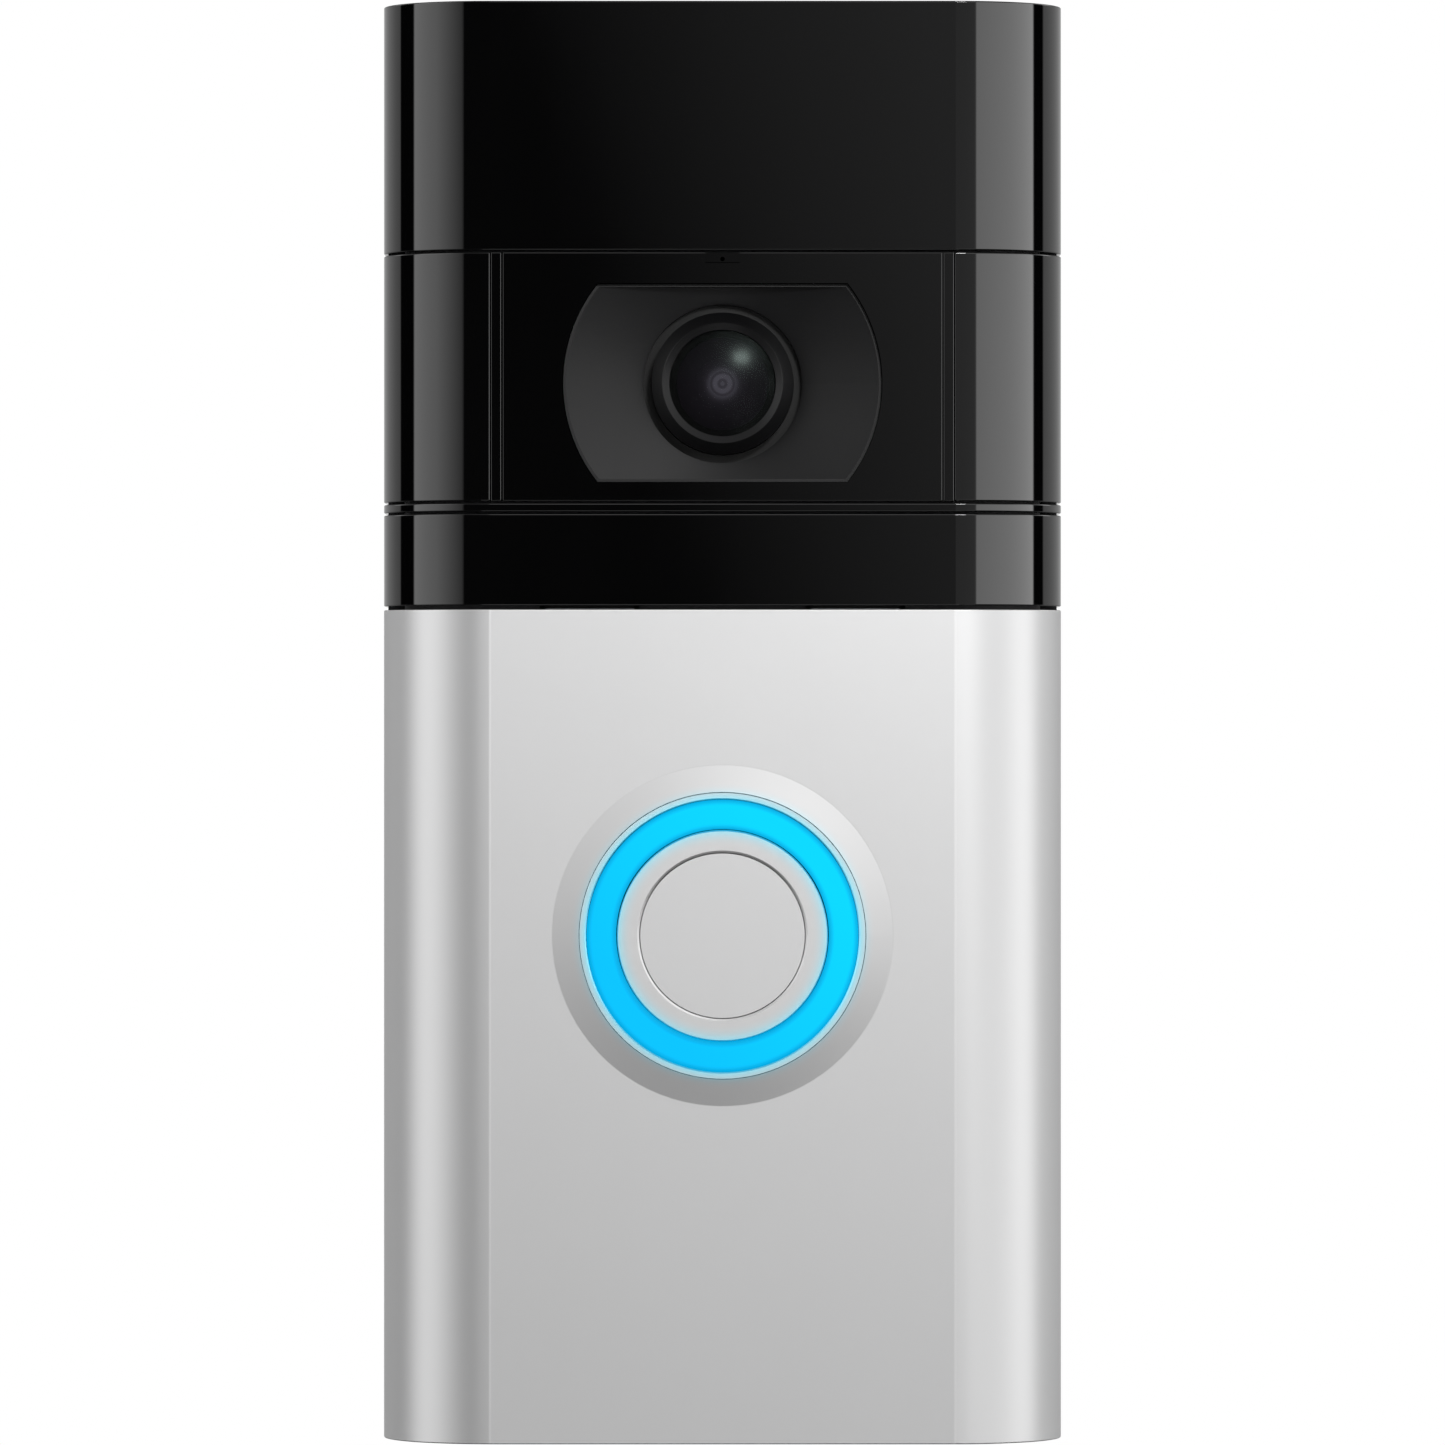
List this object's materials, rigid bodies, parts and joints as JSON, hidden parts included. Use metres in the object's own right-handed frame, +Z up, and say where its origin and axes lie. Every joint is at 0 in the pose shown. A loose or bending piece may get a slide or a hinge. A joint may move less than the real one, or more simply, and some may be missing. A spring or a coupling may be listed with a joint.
{
  "type": "video doorbell",
  "caption": "Slim upright wall doorbell with a camera in a gloss black upper band, a satin silver faceplate and a round push button inside a glowing cyan light band.",
  "frame": {"origin": "centre of the back face that lies on the wall", "axes": "+Z up, +Y into the wall, +X to the right of someone facing the doorbell"},
  "size_m": [0.0616, 0.0278, 0.13],
  "materials": {
    "board_green": "satin",
    "brass": "satin",
    "capacitor_blue": "satin",
    "cell_wrap": "satin",
    "chip_black": "matte",
    "connector_white": "satin",
    "dark_grey": "matte",
    "film": "satin",
    "flex_amber": "satin",
    "frosted": "translucent",
    "glass": "gloss",
    "gloss_black": "gloss",
    "gold": "bright",
    "infrared_resin": "gloss",
    "label_paper": "matte",
    "lens_optic": "gloss",
    "light_band": "translucent",
    "light_chip": "satin",
    "matte_black": "matte",
    "rubber": "matte",
    "satin_silver": "satin",
    "screw_steel": "bright",
    "setup_orange": "satin",
    "tin": "satin"
  },
  "bodies": {
    "doorbell_body": {"rear_housing": "matte_black", "front_chassis": "matte_black", "housing_seal": "rubber", "chassis_screws": "screw_steel", "top_cap": "gloss_black", "left_wing": "gloss_black", "right_wing": "gloss_black", "divider_strip": "gloss_black", "sensor_window": "gloss_black", "camera_plate": "gloss_black", "camera_dish": "dark_grey", "lens_barrel": "dark_grey", "lens_glass": "glass", "lens_elements": "lens_optic", "lens_seal": "rubber", "lens_holder": "matte_black", "image_sensor": "chip_black", "camera_board": "board_green", "infrared_board": "board_green", "infrared_lights": "infrared_resin", "microphone": "tin", "sensor_lens": "film", "motion_sensors": "tin", "sensor_board": "board_green", "main_board": "board_green", "shield_can": "tin", "board_chips": "chip_black", "board_connectors": "connector_white", "backup_capacitor": "capacitor_blue", "speaker": "matte_black", "antenna": "flex_amber", "camera_flex": "flex_amber", "button_bezel": "satin_silver", "button_housing": "matte_black", "button_seal": "rubber", "light_band": "light_band", "light_guide": "frosted", "button_collar": "satin_silver", "button_switch": "chip_black", "button_lights": "light_chip", "button_board": "board_green", "button_flex": "flex_amber", "setup_switch": "chip_black", "bay_cover": "matte_black", "bay_contacts": "gold", "terminal_plates": "brass", "terminal_screws": "screw_steel", "rear_label": "label_paper", "security_insert": "brass"},
    "doorbell_button": {"button_disc": "satin_silver", "button_plunger": "matte_black"},
    "setup_button": {"setup_button": "setup_orange"},
    "faceplate": {"faceplate": "satin_silver"},
    "security_screw": {"security_screw": "screw_steel"},
    "battery_pack": {"battery_case": "matte_black", "battery_contacts": "gold", "battery_cells": "cell_wrap", "battery_end_cap": "dark_grey", "charging_port": "tin"},
    "release_tab": {"release_tab": "dark_grey"}
  },
  "joints": [
    {"name": "doorbell_button_press", "type": "slide", "parent": "doorbell_body", "child": "doorbell_button", "axis": [0, 1, 0], "range_m": [0, 0.0006], "stiffness_N_per_m": 800},
    {"name": "setup_button_press", "type": "slide", "parent": "doorbell_body", "child": "setup_button", "axis": [0, 1, 0], "range_m": [0, 0.0004], "stiffness_N_per_m": 600},
    {"name": "faceplate_tilt", "type": "hinge", "parent": "doorbell_body", "child": "faceplate", "pos_m": [0, -0.0272, 0.0102], "axis": [-1, 0, 0], "range_deg": [0, 30]},
    {"name": "security_screw_out", "type": "slide", "parent": "doorbell_body", "child": "security_screw", "axis": [0, 0, -1], "range_m": [0, 0.008]},
    {"name": "battery_slide", "type": "slide", "parent": "doorbell_body", "child": "battery_pack", "axis": [0, 0, -1], "range_m": [0, 0.07]},
    {"name": "release_tab_press", "type": "slide", "parent": "battery_pack", "child": "release_tab", "axis": [0, 1, 0], "range_m": [0, 0.0015], "stiffness_N_per_m": 500}
  ]
}
